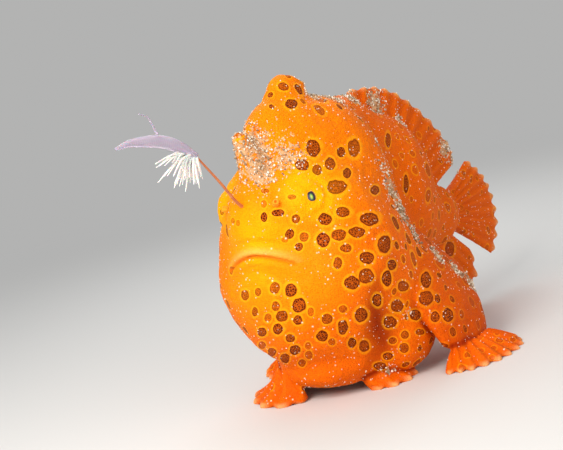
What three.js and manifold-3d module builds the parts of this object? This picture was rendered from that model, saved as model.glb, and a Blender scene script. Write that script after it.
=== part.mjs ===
// A painted frogfish resting on the bottom with its lure held out, life size, in millimetres.
// The fish faces +X, its left side is +Y and +Z is up. The fish frame has x = 0 at the front of the
// upper lip and z = 0 at the floor; the last lines move it so that the origin is under the box's middle.
// The head, trunk and tail are one implicit body, a smooth union of ellipsoids, parted by thin cuts.
// Fins are sheets between a root line and a margin, with a ridge on each face for every ray.
import * as THREE from "three";
import { mergeVertices } from "three/addons/utils/BufferGeometryUtils.js";
import Module from "manifold-3d";

const wasm = await Module();
wasm.setup();

// Driving sizes
const GAP = 0.3; // between nodes that touch
const BODY_LENGTH = 118; // upper lip to the root of the tail fin
const BACK_HEIGHT = 92; // floor to the highest part of the back
const HALF_WIDTH = 28; // of the belly
const LIP_HEIGHT = 52; // front of the upper lip above the floor
const MOUTH_HALF_WIDTH = 11.5;
const MOUTH_DROP = 4.3; // corners below the front of the lip
const EYE = { x: -11, y: 14.6, z: 64.8, radius: 3.9 };
const HEAD_CUT_X = -45; // between head and trunk
const TAIL_CUT_X = -97; // between trunk and tail stalk
const SOLE_DEPTH = -0.2; // of the fin margins, before the soles are cut flat at the floor

const vec = (x, y, z) => new THREE.Vector3(x, y, z);
const lerp = THREE.MathUtils.lerp;

// The implicit body: name, centre, radii and how softly each ellipsoid melts into the rest
const BLOBS = [
  { name: "belly", at: [-35, 0, 34], radii: [35.5, HALF_WIDTH, 28.5], melt: 1 },
  { name: "head", at: [-26, 0, 56], radii: [26.5, 23, 26], melt: 9 },
  { name: "chin", at: [-13, 0, 37], radii: [14.5, 20, 19], melt: 7 },
  { name: "back", at: [-44, 0, 56], radii: [22, 20.5, BACK_HEIGHT - 56], melt: 7 },
  { name: "nape", at: [-58, 0, 69], radii: [19, 9.5, 21], melt: 6 },
  { name: "horn", at: [-24, 0, 84], radii: [13, 6.5, 11], melt: 6 },
  { name: "crown", at: [-31, 0, 80], radii: [17, 11, 12], melt: 9 },
  { name: "rear", at: [-78, 0, 53], radii: [22, 13, 27], melt: 8 },
  { name: "tail_stalk", at: [-102, 0, 38], radii: [BODY_LENGTH - 102, 6.8, 11], melt: 9 },
  { name: "pelvis", at: [-27, 0, 9.5], radii: [17, 17, 7.5], melt: 6 },
  { name: "snout", at: [-4, 0, 62], radii: [6.2, 9, 9], melt: 5 },
  { name: "brow", at: [EYE.x - 0.6, EYE.y - 1.6, EYE.z], radii: [6.6, 4.2, 6.6], melt: 3.5 },
  { name: "flank", at: [-40, 19, 15], radii: [15, 8.5, 13], melt: 6 },
  { name: "cheek", at: [-24, 19, 42], radii: [15, 9, 17], melt: 11 },
];

function ellipsoidField(p, blob) {
  const [cx, cy, cz] = blob.at;
  const [rx, ry, rz] = blob.radii;
  const d = [p.x - cx, Math.abs(p.y) - cy, p.z - cz];
  const k0 = Math.hypot(d[0] / rx, d[1] / ry, d[2] / rz);
  const k1 = Math.hypot(d[0] / rx ** 2, d[1] / ry ** 2, d[2] / rz ** 2);
  return k1 < 1e-9 ? -Math.min(rx, ry, rz) : (k0 * (k0 - 1)) / k1;
}

function smoothMin(a, b, melt) {
  const h = Math.max(melt - Math.abs(a - b), 0) / melt;
  return Math.min(a, b) - (h * h * melt) / 4;
}

// Roughly the distance to the body's skin, negative inside
function bodyField(p) {
  const [first, ...rest] = BLOBS;
  const start = ellipsoidField(p, first);
  return rest.reduce((sum, blob) => smoothMin(sum, ellipsoidField(p, blob), blob.melt), start);
}

// Where a ray from inside the body leaves the surface that is offset mm outside the skin
function leaveBody(from, direction, offset) {
  let low = 0;
  let high = 90;
  for (let i = 0; i < 40; i++) {
    const middle = (low + high) / 2;
    const p = from.clone().addScaledVector(direction, middle);
    if (bodyField(p) < offset) low = middle;
    else high = middle;
  }
  return from.clone().addScaledVector(direction, low);
}

function bodyNormal(p) {
  const e = 0.2;
  const slope = (axis) => {
    const step = vec(0, 0, 0).setComponent(axis, e);
    return bodyField(p.clone().add(step)) - bodyField(p.clone().sub(step));
  };
  return vec(slope(0), slope(1), slope(2)).normalize();
}

// A closed grid of rings, with a pole point at each end
function ringedSolid(rings, first, last) {
  const points = [first, ...rings.flat(), last];
  const around = rings[0].length;
  const at = (ring, i) => 1 + ring * around + (i % around);
  const faces = [];
  for (let i = 0; i < around; i++) faces.push([0, at(0, i + 1), at(0, i)]);
  for (let r = 0; r < rings.length - 1; r++)
    for (let i = 0; i < around; i++) {
      faces.push([at(r, i), at(r, i + 1), at(r + 1, i)]);
      faces.push([at(r, i + 1), at(r + 1, i + 1), at(r + 1, i)]);
    }
  const end = rings.length - 1;
  for (let i = 0; i < around; i++) faces.push([points.length - 1, at(end, i), at(end, i + 1)]);
  return solidFrom(points, faces);
}

// A manifold solid from points and triangles, turned to face out
function solidFrom(points, faces) {
  const make = (turned) =>
    new wasm.Manifold(
      new wasm.Mesh({
        numProp: 3,
        vertProperties: Float32Array.from(points.flatMap((p) => [p.x, p.y, p.z])),
        triVerts: Uint32Array.from(faces.flatMap(([a, b, c]) => (turned ? [a, c, b] : [a, b, c]))),
      }),
    );
  const made = make(false);
  return made.volume() < 0 ? make(true) : made;
}

// A three.js geometry as a manifold solid
function solidOf(geometry) {
  const bare = geometry.clone();
  bare.deleteAttribute("normal");
  bare.deleteAttribute("uv");
  const merged = mergeVertices(bare, 1e-4);
  return new wasm.Manifold(
    new wasm.Mesh({
      numProp: 3,
      vertProperties: merged.attributes.position.array,
      triVerts: Uint32Array.from(merged.index.array),
    }),
  );
}

const boxSolid = (size, centre) =>
  solidOf(new THREE.BoxGeometry(size.x, size.y, size.z).translate(centre.x, centre.y, centre.z));
const ballSolid = (radius, centre, across = 16, up = 12) =>
  solidOf(new THREE.SphereGeometry(radius, across, up).translate(centre.x, centre.y, centre.z));
const below = boxSolid(vec(500, 300, 60), vec(-50, 0, -30));

// The largest closed piece of a solid
function largest(solid) {
  return solid.decompose().reduce((best, piece) => (piece.volume() > best.volume() ? piece : best));
}

const joined = (solids) => solids.reduce((sum, solid) => sum.add(solid));

// The body as a capsule of rays: a front cap round the head's middle, rings along the spine, a rear cap
const SPINE_FRONT = vec(-26, 0, 48);
const SPINE_REAR = vec(-108, 0, 37.5);
const BODY_AROUND = 44;
const FRONT_RINGS = 16;
const SIDE_RINGS = 24;
const REAR_RINGS = 4;

function bodySolid(offset) {
  const along = SPINE_REAR.clone().sub(SPINE_FRONT).normalize();
  const side = vec(0, 1, 0);
  const up = along.clone().cross(side).normalize();
  const spoke = (i) => {
    const a = (2 * Math.PI * i) / BODY_AROUND;
    return side.clone().multiplyScalar(Math.cos(a)).addScaledVector(up, Math.sin(a));
  };
  const ring = (centre, tilt) =>
    Array.from({ length: BODY_AROUND }, (_, i) => {
      const direction = spoke(i).multiplyScalar(Math.cos(tilt)).addScaledVector(along, Math.sin(tilt));
      return leaveBody(centre, direction, offset);
    });
  const rings = [];
  const quarter = Math.PI / 2;
  for (let r = 1; r <= FRONT_RINGS; r++) {
    rings.push(ring(SPINE_FRONT, -quarter * (1 - r / (FRONT_RINGS + 1))));
  }
  for (let r = 0; r <= SIDE_RINGS; r++) {
    rings.push(ring(SPINE_FRONT.clone().lerp(SPINE_REAR, r / SIDE_RINGS), 0));
  }
  for (let r = 1; r <= REAR_RINGS; r++) {
    rings.push(ring(SPINE_REAR, (quarter * r) / (REAR_RINGS + 1)));
  }
  const first = leaveBody(SPINE_FRONT, along.clone().negate(), offset);
  const last = leaveBody(SPINE_REAR, along, offset);
  return ringedSolid(rings, first, last);
}

// A tapered tube along points: radii(t) gives the half width and half depth at t from 0 to 1,
// and across is the direction that the width lies in
function tubeSolid(points, radii, { around = 8, steps = 12, across = vec(0, 1, 0), grow = 0 } = {}) {
  const curve = new THREE.CatmullRomCurve3(points, false, "centripetal");
  const rings = [];
  for (let r = 0; r <= steps; r++) {
    const t = r / steps;
    const centre = curve.getPointAt(t);
    const tangent = curve.getTangentAt(t);
    const wide = across.clone().addScaledVector(tangent, -across.dot(tangent)).normalize();
    const deep = tangent.clone().cross(wide);
    const [halfWidth, halfDepth] = radii(t).map((radius) => radius + grow);
    rings.push(
      Array.from({ length: around }, (_, i) => {
        const a = (2 * Math.PI * i) / around;
        return centre
          .clone()
          .addScaledVector(wide, halfWidth * Math.cos(a))
          .addScaledVector(deep, halfDepth * Math.sin(a));
      }),
    );
  }
  const endOf = (t, way) => {
    const reach = Math.min(...radii(t)) * 0.6 + grow;
    return curve.getPointAt(t).addScaledVector(curve.getTangentAt(t), way * reach);
  };
  return ringedSolid(rings, endOf(0, -1), endOf(1, 1));
}

// A fin between a root line and a margin. Each ray is a ridge on both faces; the margin dips between rays.
// bow pushes the middle of each ray out along its own vector.
function finSolid({ root, margin, rays, thick, bow = vec(0, 0, 0), dip = 0.08, steps = 7, ridge = 0.5 }) {
  const rootLine = new THREE.CatmullRomCurve3(root, false, "centripetal");
  const marginLine = new THREE.CatmullRomCurve3(margin, false, "centripetal");
  const PER_RAY = 4;
  const columns = rays * PER_RAY;
  const middle = (s, t) => {
    const atRay = Math.cos(Math.PI * rays * s) ** 2;
    const reach = t * (1 - dip * atRay);
    const start = rootLine.getPoint(s);
    return start
      .clone()
      .lerp(marginLine.getPoint(s), reach)
      .addScaledVector(bow, 4 * t * (1 - t));
  };
  const normal = (s, t) => {
    const e = 0.01;
    const [s0, s1] = [Math.max(s - e, 0), Math.min(s + e, 1)];
    const [t0, t1] = [Math.max(t - e, 0), Math.min(t + e, 1)];
    const along = middle(s1, t).sub(middle(s0, t));
    const out = middle(s, t1).sub(middle(s, t0));
    return along.cross(out).normalize();
  };
  const halfThickness = (s, t) => {
    const atRay = Math.sin(Math.PI * rays * s) ** 2;
    return (lerp(thick[0], thick[1], t) / 2) * (1 - ridge + ridge * atRay);
  };
  const points = [];
  const left = [];
  const right = [];
  for (let i = 0; i <= columns; i++) {
    left.push([]);
    right.push([]);
    for (let j = 0; j <= steps; j++) {
      const [s, t] = [i / columns, j / steps];
      const centre = middle(s, t);
      const edge = i === 0 || i === columns || j === 0 || j === steps;
      if (edge) {
        points.push(centre);
        left[i].push(points.length - 1);
        right[i].push(points.length - 1);
      } else {
        const push = normal(s, t).multiplyScalar(halfThickness(s, t));
        points.push(centre.clone().add(push), centre.clone().sub(push));
        left[i].push(points.length - 2);
        right[i].push(points.length - 1);
      }
    }
  }
  const faces = [];
  for (let i = 0; i < columns; i++)
    for (let j = 0; j < steps; j++) {
      const face = (grid, turned) => {
        const [a, b, c, d] = [grid[i][j], grid[i + 1][j], grid[i + 1][j + 1], grid[i][j + 1]];
        const pair = [
          [a, b, c],
          [a, c, d],
        ];
        return turned ? pair.map(([x, y, z]) => [x, z, y]) : pair;
      };
      faces.push(...face(left, false), ...face(right, true));
    }
  return solidFrom(points, faces);
}

const mirrored = (points) => points.map((p) => vec(p.x, -p.y, p.z));
const sided = (points, side) => (side > 0 ? points : mirrored(points));

// Materials
const skin = new THREE.MeshStandardMaterial({ color: 0xf07a08, roughness: 0.55, metalness: 0 });
const finSkin = new THREE.MeshStandardMaterial({ color: 0xee7406, roughness: 0.5, metalness: 0 });
const eyeMaterial = new THREE.MeshStandardMaterial({ color: 0xf6c40a, roughness: 0.12, metalness: 0 });
const lureMaterial = new THREE.MeshStandardMaterial({ color: 0xc9bfd2, roughness: 0.35, metalness: 0 });
const rodMaterial = new THREE.MeshStandardMaterial({ color: 0xb4572b, roughness: 0.5, metalness: 0 });

const nodes = [];
const addNode = (name, solid, material) => nodes.push({ name, solid, material });

const wholeBody = bodySolid(0);
const bodyClearance = bodySolid(GAP);

// The mouth: an arched slit with a rounded lip above and below, drawn on the skin
function mouthPoint(a, lift) {
  const from = vec(-16, a * MOUTH_HALF_WIDTH * 0.55, LIP_HEIGHT - 3);
  const z = LIP_HEIGHT - MOUTH_DROP * Math.abs(a) ** 1.7 + lift * (1 - a * a * 0.7);
  const aim = vec(4 - 7 * a * a, a * MOUTH_HALF_WIDTH, z);
  return leaveBody(from, aim.sub(from).normalize(), 0);
}

const MOUTH_STEPS = 13;
const mouthLine = (lift) =>
  Array.from({ length: MOUTH_STEPS + 1 }, (_, i) => mouthPoint((2 * i) / MOUTH_STEPS - 1, lift));

function mouthSlit() {
  const rings = mouthLine(0).map((p, i) => {
    const share = Math.sin((Math.PI * (i + 0.5)) / (MOUTH_STEPS + 1));
    const out = bodyNormal(p);
    const half = 0.2 + 0.25 * share;
    const deep = 1 + 2 * share;
    return [
      p.clone().addScaledVector(out, 3).add(vec(0, 0, half)),
      p.clone().addScaledVector(out, -deep).add(vec(0, 0, half * 0.6)),
      p.clone().addScaledVector(out, -deep).add(vec(0, 0, -half * 0.6)),
      p.clone().addScaledVector(out, 3).add(vec(0, 0, -half)),
    ];
  });
  const endPoint = (ring) => ring.reduce((sum, p) => sum.add(p), vec(0, 0, 0)).divideScalar(ring.length);
  return ringedSolid(rings, endPoint(rings[0]), endPoint(rings.at(-1)));
}

const UPPER_LIP = { lift: 1.7, radius: 2 };
const LOWER_LIP = { lift: -1.9, radius: 2.2 };
function lip({ lift, radius }) {
  const swell = (t) => radius * (0.35 + 0.65 * Math.sin(Math.PI * Math.min(Math.max(t, 0.02), 0.98)));
  const across = vec(0, 0, 1);
  return tubeSolid(mouthLine(lift), (t) => [swell(t), swell(t)], { around: 8, steps: 20, across });
}

// Nostrils: short open tubes between the eye and the lure's root
const NOSTRIL = { x: -3, y: 9.2, z: 66, length: 1.8, radius: 1.05, bore: 0.45 };
function nostrilParts(side) {
  const root = leaveBody(vec(-14, 0, NOSTRIL.z - 2), vec(11, side * NOSTRIL.y, 2).normalize(), 0);
  const out = bodyNormal(root);
  const along = (from, to, radius) => {
    const ends = [from, to].map((reach) => root.clone().addScaledVector(out, reach));
    return tubeSolid(ends, () => [radius, radius], { around: 8, steps: 2 });
  };
  return {
    tube: along(-1.2, NOSTRIL.length - 0.6, NOSTRIL.radius),
    bore: along(0.4, NOSTRIL.length + 1, NOSTRIL.bore),
  };
}

// Eyes: balls that bulge from rimmed sockets
const eyeCentre = (side) => vec(EYE.x, side * EYE.y, EYE.z);
const EYE_LOOK = vec(0.42, 0.88, 0.2).normalize();
const eyeLook = (side) => vec(EYE_LOOK.x, side * EYE_LOOK.y, EYE_LOOK.z);
const LID = { ring: EYE.radius * 0.93, thick: 0.85, lift: EYE.radius * 0.36 };

function lidRing(side) {
  const ring = new THREE.TorusGeometry(LID.ring, LID.thick, 6, 18);
  ring.applyQuaternion(new THREE.Quaternion().setFromUnitVectors(vec(0, 0, 1), eyeLook(side)));
  const centre = eyeCentre(side).addScaledVector(eyeLook(side), LID.lift);
  return solidOf(ring.translate(centre.x, centre.y, centre.z));
}

for (const [label, side] of [
  ["left", 1],
  ["right", -1],
])
  addNode(`eye_${label}`, ballSolid(EYE.radius, eyeCentre(side)), eyeMaterial);

const nostrils = [1, -1].map(nostrilParts);
const CUT_WIDTH = 200; // wider and taller than the fish
const cut = (x) => boxSolid(vec(GAP, CUT_WIDTH, CUT_WIDTH), vec(x, 0, BACK_HEIGHT / 2));
const sockets = joined([1, -1].map((side) => ballSolid(EYE.radius + GAP, eyeCentre(side))));
const dressedBody = joined([
  wholeBody,
  lip(UPPER_LIP),
  lip(LOWER_LIP),
  lidRing(1),
  lidRing(-1),
  ...nostrils.map((n) => n.tube),
])
  .subtract(mouthSlit())
  .subtract(joined(nostrils.map((n) => n.bore)))
  .subtract(sockets)
  .subtract(cut(HEAD_CUT_X))
  .subtract(cut(TAIL_CUT_X));

const pieceAt = (low, high) => {
  const slab = boxSolid(vec(high - low, CUT_WIDTH, CUT_WIDTH), vec((low + high) / 2, 0, BACK_HEIGHT / 2));
  return largest(dressedBody.intersect(slab));
};
addNode("head", pieceAt(HEAD_CUT_X, CUT_WIDTH), skin);
addNode("trunk", pieceAt(TAIL_CUT_X, HEAD_CUT_X), skin);
addNode("tail_stalk", pieceAt(-CUT_WIDTH, TAIL_CUT_X), skin);

const offBody = (solid) => largest(solid.subtract(bodyClearance));

// Head spines: the second stands behind the lure, the third is a fleshy horn over the nape
const SECOND_SPINE = {
  path: [vec(-10, 0, 71), vec(-8, 0, 79), vec(-4.6, 0, 87.4)],
  across: vec(1, 0, 0),
  around: 12,
  steps: 6,
};
const secondSpineRadii = (t) => [lerp(6.5, 2.3, t), lerp(6, 2, t)];
const SPINE_MEMBRANE = {
  root: [vec(-9, 0, 72), vec(-15, 0, 74), vec(-23, 0, 79)],
  margin: [vec(-5.5, 0, 86.5), vec(-13, 0, 91.6), vec(-23, 0, 96.6)],
};
const secondSpine = joined([
  tubeSolid(SECOND_SPINE.path, secondSpineRadii, SECOND_SPINE),
  finSolid({ ...SPINE_MEMBRANE, rays: 1, thick: [8, 3.4], dip: 0, steps: 5, ridge: 0 }),
]);

const THIRD_SPINE = {
  path: [vec(-30, 0, 74), vec(-31, 0, 86), vec(-33, 0, 94), vec(-36, 0, 99)],
  across: vec(1, 0, 0),
  around: 24,
  steps: 10,
};
const thirdSpineRadii = (t) => [
  lerp(19, 8, t) * Math.sqrt(1 - 0.55 * t ** 4),
  lerp(12, 5, t) * Math.sqrt(1 - 0.5 * t ** 4),
];
const thirdSpine = (grow) => tubeSolid(THIRD_SPINE.path, thirdSpineRadii, { ...THIRD_SPINE, grow });
addNode("third_dorsal_spine", offBody(thirdSpine(0)), skin);
addNode("second_dorsal_spine", offBody(secondSpine.subtract(thirdSpine(GAP))), skin);

// Median fins
const DORSAL_FIN = {
  root: [vec(-62, 0, 80), vec(-78, 0, 76), vec(-91, 0, 68), vec(-98, 0, 58), vec(-104, 0, 47)],
  margin: [
    vec(-66, 0, 91),
    vec(-80, 0, 90),
    vec(-93, 0, 86.5),
    vec(-106, 0, 79),
    vec(-118, 0, 69),
    vec(-125.5, 0, 59),
    vec(-125, 0, 53),
  ],
};
const dorsalFin = finSolid({ ...DORSAL_FIN, rays: 12, thick: [5, 1.6], dip: 0.06, steps: 6 });
addNode("dorsal_fin", offBody(dorsalFin), finSkin);

const ANAL_FIN = {
  root: [vec(-78, 0, 36), vec(-92, 0, 35), vec(-105, 0, 35)],
  margin: [vec(-88, 0, 15), vec(-98, 0, 7), vec(-112, 0, 5), vec(-125, 0, 8), vec(-126, 0, 19)],
};
const analFin = finSolid({ ...ANAL_FIN, rays: 7, thick: [4.5, 1.5], dip: 0.08, steps: 6 });
addNode("anal_fin", offBody(analFin), finSkin);

const CAUDAL_FIN = {
  root: [vec(-114, 0, 43), vec(-115, 0, 37), vec(-114, 0, 31)],
  margin: [vec(-135, 0, 53), vec(-145, 0, 45), vec(-150, 0, 35), vec(-149, 0, 23), vec(-141, 0, 13)],
};
const caudalFin = finSolid({ ...CAUDAL_FIN, rays: 9, thick: [5.5, 1.5], dip: 0.07, steps: 6 });
addNode("caudal_fin", offBody(caudalFin), finSkin);

// Arms: a lobe from the flank down to the wrist, and a hand of ten rays laid on the floor
const ARM = {
  path: [vec(-50, 10, 44), vec(-53, 19, 33), vec(-56, 26, 22), vec(-55.5, 30, 12), vec(-54, 32, 4.6)],
  around: 18,
  steps: 10,
};
const armRadii = (t) => [16.5 + 4.5 * Math.sin(Math.PI * t) - 3.5 * t ** 4, lerp(9, 3.4, t)];
const onFloor = (points) => points.map(([x, y]) => vec(x, y, SOLE_DEPTH));
const HAND = {
  root: [vec(-43, 31.5, 4), vec(-54, 35.5, 4.5), vec(-65, 34, 4)],
  margin: onFloor([
    [-36, 33],
    [-40, 41],
    [-52, 47],
    [-66, 46.5],
    [-75, 39],
  ]),
};
// The left foot stands a step behind the right one
const FEET = {
  left: {
    root: [vec(-24, 8, 11), vec(-30, 11, 11), vec(-36, 9, 11)],
    margin: onFloor([
      [-23, 14],
      [-26, 20],
      [-33, 23],
      [-41, 21],
      [-44, 15],
    ]),
    rays: 5,
    thick: [7.5, 2.4],
    dip: 0.1,
  },
  right: {
    root: [vec(-14, -6, 11), vec(-18, -11, 11), vec(-27, -11, 11)],
    margin: onFloor([
      [-17, -5.5],
      [-9, -9.5],
      [-8.5, -19],
      [-14, -27],
      [-23, -32],
      [-30, -27],
    ]),
    rays: 6,
    thick: [8.5, 2.6],
    dip: 0.09,
  },
};

for (const [label, side] of [
  ["left", 1],
  ["right", -1],
]) {
  const armPath = sided(ARM.path, side);
  const across = vec(1, 0, 0.3);
  const arm = tubeSolid(armPath, armRadii, { ...ARM, across });
  const armClearance = tubeSolid(armPath, armRadii, { ...ARM, across, grow: GAP });
  addNode(`pectoral_arm_${label}`, offBody(arm.subtract(below)), skin);
  const hand = finSolid({
    root: sided(HAND.root, side),
    margin: sided(HAND.margin, side),
    rays: 10,
    thick: [6, 1.9],
    bow: vec(0, 0, 0.3),
    dip: 0.14,
    steps: 5,
  });
  addNode(`pectoral_fin_${label}`, offBody(hand.subtract(below).subtract(armClearance)), finSkin);
  const foot = finSolid({
    ...FEET[label],
    bow: vec(0, 0, -2.2),
    steps: 6,
  });
  addNode(`pelvic_fin_${label}`, offBody(foot.subtract(below)), finSkin);
}

// The lure: a thin rod from the snout, and at its tip a tapered body with a tuft of filaments
const ROD = {
  path: [vec(-3, 0, 64.5), vec(2.4, 0, 68), vec(9, 0.4, 76), vec(16, 0, 85.2)],
  radii: [0.55, 0.3],
};
// A round tube whose radius goes evenly from the first of radii to the second
function roundTube(path, radii, options) {
  return tubeSolid(path, (t) => [lerp(...radii, t), lerp(...radii, t)], options);
}
const rod = (grow) => roundTube(ROD.path, ROD.radii, { around: 8, steps: 14, grow });
addNode("illicium", offBody(rod(0)), rodMaterial);

const LURE_BODY = [
  vec(16.6, 0, 85.6),
  vec(24, 0, 90.4),
  vec(30, -0.5, 92.8),
  vec(35.5, -1, 93.8),
  vec(40.5, -1.4, 94.4),
  vec(46, -1.6, 94),
];
const lureRadius = (t) => {
  const swell = Math.sin(Math.PI * Math.min(0.12 + 0.88 * t, 0.99)) ** 0.8;
  return 0.35 + 1.6 * swell * (1 - 0.35 * t);
};
const FILAMENTS = 16;
const lureBody = tubeSolid(LURE_BODY, (t) => [lureRadius(t), lureRadius(t) * 1.1], { around: 10, steps: 14 });
const WHIP = [vec(29, -0.5, 93), vec(30.4, -0.4, 96.5), vec(32.4, 0, 100), vec(36, 0.4, 101.6)];
const whip = roundTube(WHIP, [0.5, 0.25], { around: 5, steps: 6 });
const tuft = Array.from({ length: FILAMENTS }, (_, i) => {
  const turn = i / (FILAMENTS - 1);
  const climb = lerp(0.12, -1.45, turn);
  const length = lerp(15, 6.5, turn) * lerp(0.75, 1.1, (i * 0.618) % 1);
  const start = vec(lerp(18.5, 16.6, turn), ((i % 3) - 1) * 0.5, lerp(86.6, 85.2, turn));
  const out = vec(Math.cos(climb), ((i % 5) - 2) * 0.2, Math.sin(climb)).normalize();
  const path = [
    start,
    start.clone().addScaledVector(out, length * 0.5).add(vec(0, 0, 0.6)),
    start.clone().addScaledVector(out, length).add(vec(0, 0, -0.8)),
  ];
  return roundTube(path, [0.6, 0.22], { around: 5, steps: 4 });
});
addNode("esca", largest(joined([lureBody, whip, ...tuft]).subtract(rod(GAP))), lureMaterial);

// The meshes, moved so that the origin is on the floor under the middle of the box
const group = new THREE.Group();
for (const { name, solid, material } of nodes) {
  const mesh = solid.getMesh();
  const geometry = new THREE.BufferGeometry()
    .setAttribute("position", new THREE.BufferAttribute(Float32Array.from(mesh.vertProperties), 3))
    .setIndex(new THREE.BufferAttribute(Uint32Array.from(mesh.triVerts), 1));
  geometry.computeVertexNormals();
  const piece = new THREE.Mesh(geometry, material);
  piece.name = name;
  group.add(piece);
}
const box = new THREE.Box3().setFromObject(group);
const middle = box.getCenter(vec(0, 0, 0));
group.position.set(-middle.x, -middle.y, -box.min.z);

export default group;
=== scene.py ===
import bpy
import math
import numpy as np
from mathutils import Matrix, Vector, noise
from mathutils.bvhtree import BVHTree
from mathutils.kdtree import KDTree


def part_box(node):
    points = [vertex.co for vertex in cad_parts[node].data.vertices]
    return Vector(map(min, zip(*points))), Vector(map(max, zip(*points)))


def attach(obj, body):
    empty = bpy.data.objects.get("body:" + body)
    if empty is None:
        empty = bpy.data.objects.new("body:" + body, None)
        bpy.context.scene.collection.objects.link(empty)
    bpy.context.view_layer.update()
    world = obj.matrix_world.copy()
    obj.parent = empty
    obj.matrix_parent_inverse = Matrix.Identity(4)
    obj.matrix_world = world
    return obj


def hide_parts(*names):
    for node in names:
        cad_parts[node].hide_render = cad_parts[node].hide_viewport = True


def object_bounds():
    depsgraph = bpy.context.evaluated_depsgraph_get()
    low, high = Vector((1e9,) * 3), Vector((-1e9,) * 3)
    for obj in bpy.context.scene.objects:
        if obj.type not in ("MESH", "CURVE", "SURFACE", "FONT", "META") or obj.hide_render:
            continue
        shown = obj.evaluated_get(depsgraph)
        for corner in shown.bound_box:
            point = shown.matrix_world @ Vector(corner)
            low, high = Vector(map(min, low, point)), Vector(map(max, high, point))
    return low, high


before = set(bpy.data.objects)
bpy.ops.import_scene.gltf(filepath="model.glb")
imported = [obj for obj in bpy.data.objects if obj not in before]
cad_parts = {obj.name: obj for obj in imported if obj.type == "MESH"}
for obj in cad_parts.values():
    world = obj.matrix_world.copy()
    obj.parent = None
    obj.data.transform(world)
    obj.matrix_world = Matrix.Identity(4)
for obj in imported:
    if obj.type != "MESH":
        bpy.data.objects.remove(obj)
box_at_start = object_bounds()
rng = np.random.default_rng(41)

# Sizes in millimetres, in the fish frame: x = 0 at the front of the lip, z = 0 on the floor
BODY_LENGTH = 118.0
BACK_HEIGHT = 92.0
HALF_WIDTH = 28.0
LIP_HEIGHT = 52.0
MOUTH_HALF_WIDTH = 11.5
MOUTH_DROP = 4.3
EYE = np.array([-11.0, 14.6, 64.8])
EYE_RADIUS = 3.9
EYE_LOOK = np.array([0.42, 0.88, 0.2]) / np.linalg.norm([0.42, 0.88, 0.2])
SOLE_DEPTH = -0.2
SKIN_VOXEL = 0.34
MM = 0.001

eye_low, eye_high = (np.array(corner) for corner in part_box("eye_left"))
SHIFT = EYE - (eye_low + eye_high) / 2 / MM

# The solids' highest point, which the skin and the grains stay under
BOX_TOP = box_at_start[1][2] / MM


def to_row(points):
    """Millimetres in the fish frame to metres in the row frame."""
    return (np.asarray(points, dtype=float) - SHIFT) * MM


def to_fish(points):
    """The way back from the row frame."""
    return np.asarray(points, dtype=float) / MM + SHIFT


def unit(v):
    v = np.asarray(v, dtype=float)
    return v / np.maximum(np.linalg.norm(v, axis=-1, keepdims=True), 1e-12)


def mix(a, b, t):
    return a + (b - a) * t


def bell(x, width):
    """1 where x is 0, falling off smoothly on both sides."""
    return np.exp(-((x / width) ** 2))


def ramp(x, low, high):
    """A smooth step from 0 at low to 1 at high."""
    t = np.clip((x - low) / (high - low), 0, 1)
    return t * t * (3 - 2 * t)


# The implicit body, as a smooth union of ellipsoids: centre, radii and melt
BLOBS = [
    ((-35, 0, 34), (35.5, HALF_WIDTH, 28.5), 1),
    ((-26, 0, 56), (26.5, 23, 26), 9),
    ((-13, 0, 37), (14.5, 20, 19), 7),
    ((-44, 0, 56), (22, 20.5, BACK_HEIGHT - 56), 7),
    ((-58, 0, 69), (19, 9.5, 21), 6),
    ((-24, 0, 84), (13, 6.5, 11), 6),
    ((-31, 0, 80), (17, 11, 12), 9),
    ((-78, 0, 53), (22, 13, 27), 8),
    ((-102, 0, 38), (BODY_LENGTH - 102, 6.8, 11), 9),
    ((-27, 0, 9.5), (17, 17, 7.5), 6),
    ((-4, 0, 62), (6.2, 9, 9), 5),
    ((EYE[0] - 0.6, EYE[1] - 1.6, EYE[2]), (6.6, 4.2, 6.6), 3.5),
    ((-40, 19, 15), (15, 8.5, 13), 6),
    ((-24, 19, 42), (15, 9, 17), 11),
]


def body_field(points):
    """Roughly the distance to the body's skin in millimetres, negative inside."""
    q = np.array(points, dtype=float)
    q[:, 1] = np.abs(q[:, 1])
    total = None
    for centre, radii, melt in BLOBS:
        d = q - np.array(centre, dtype=float)
        r = np.array(radii, dtype=float)
        k0 = np.linalg.norm(d / r, axis=1)
        k1 = np.maximum(np.linalg.norm(d / r**2, axis=1), 1e-9)
        value = k0 * (k0 - 1) / k1
        if total is None:
            total = value
        else:
            h = np.maximum(melt - np.abs(total - value), 0) / melt
            total = np.minimum(total, value) - h * h * melt / 4
    return total


def body_slope(points):
    """The gradient of body_field, which points outward."""
    step = 0.25
    columns = []
    for axis in range(3):
        shift = np.zeros(3)
        shift[axis] = step
        columns.append((body_field(points + shift) - body_field(points - shift)) / (2 * step))
    return np.stack(columns, axis=1)


def leave_body(origins, directions):
    """Where rays from inside the body cross its skin."""
    low = np.zeros(len(origins))
    high = np.full(len(origins), 90.0)
    for _ in range(30):
        middle = (low + high) / 2
        inside = body_field(origins + directions * middle[:, None]) < 0
        low = np.where(inside, middle, low)
        high = np.where(inside, high, middle)
    return origins + directions * low[:, None]


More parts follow.
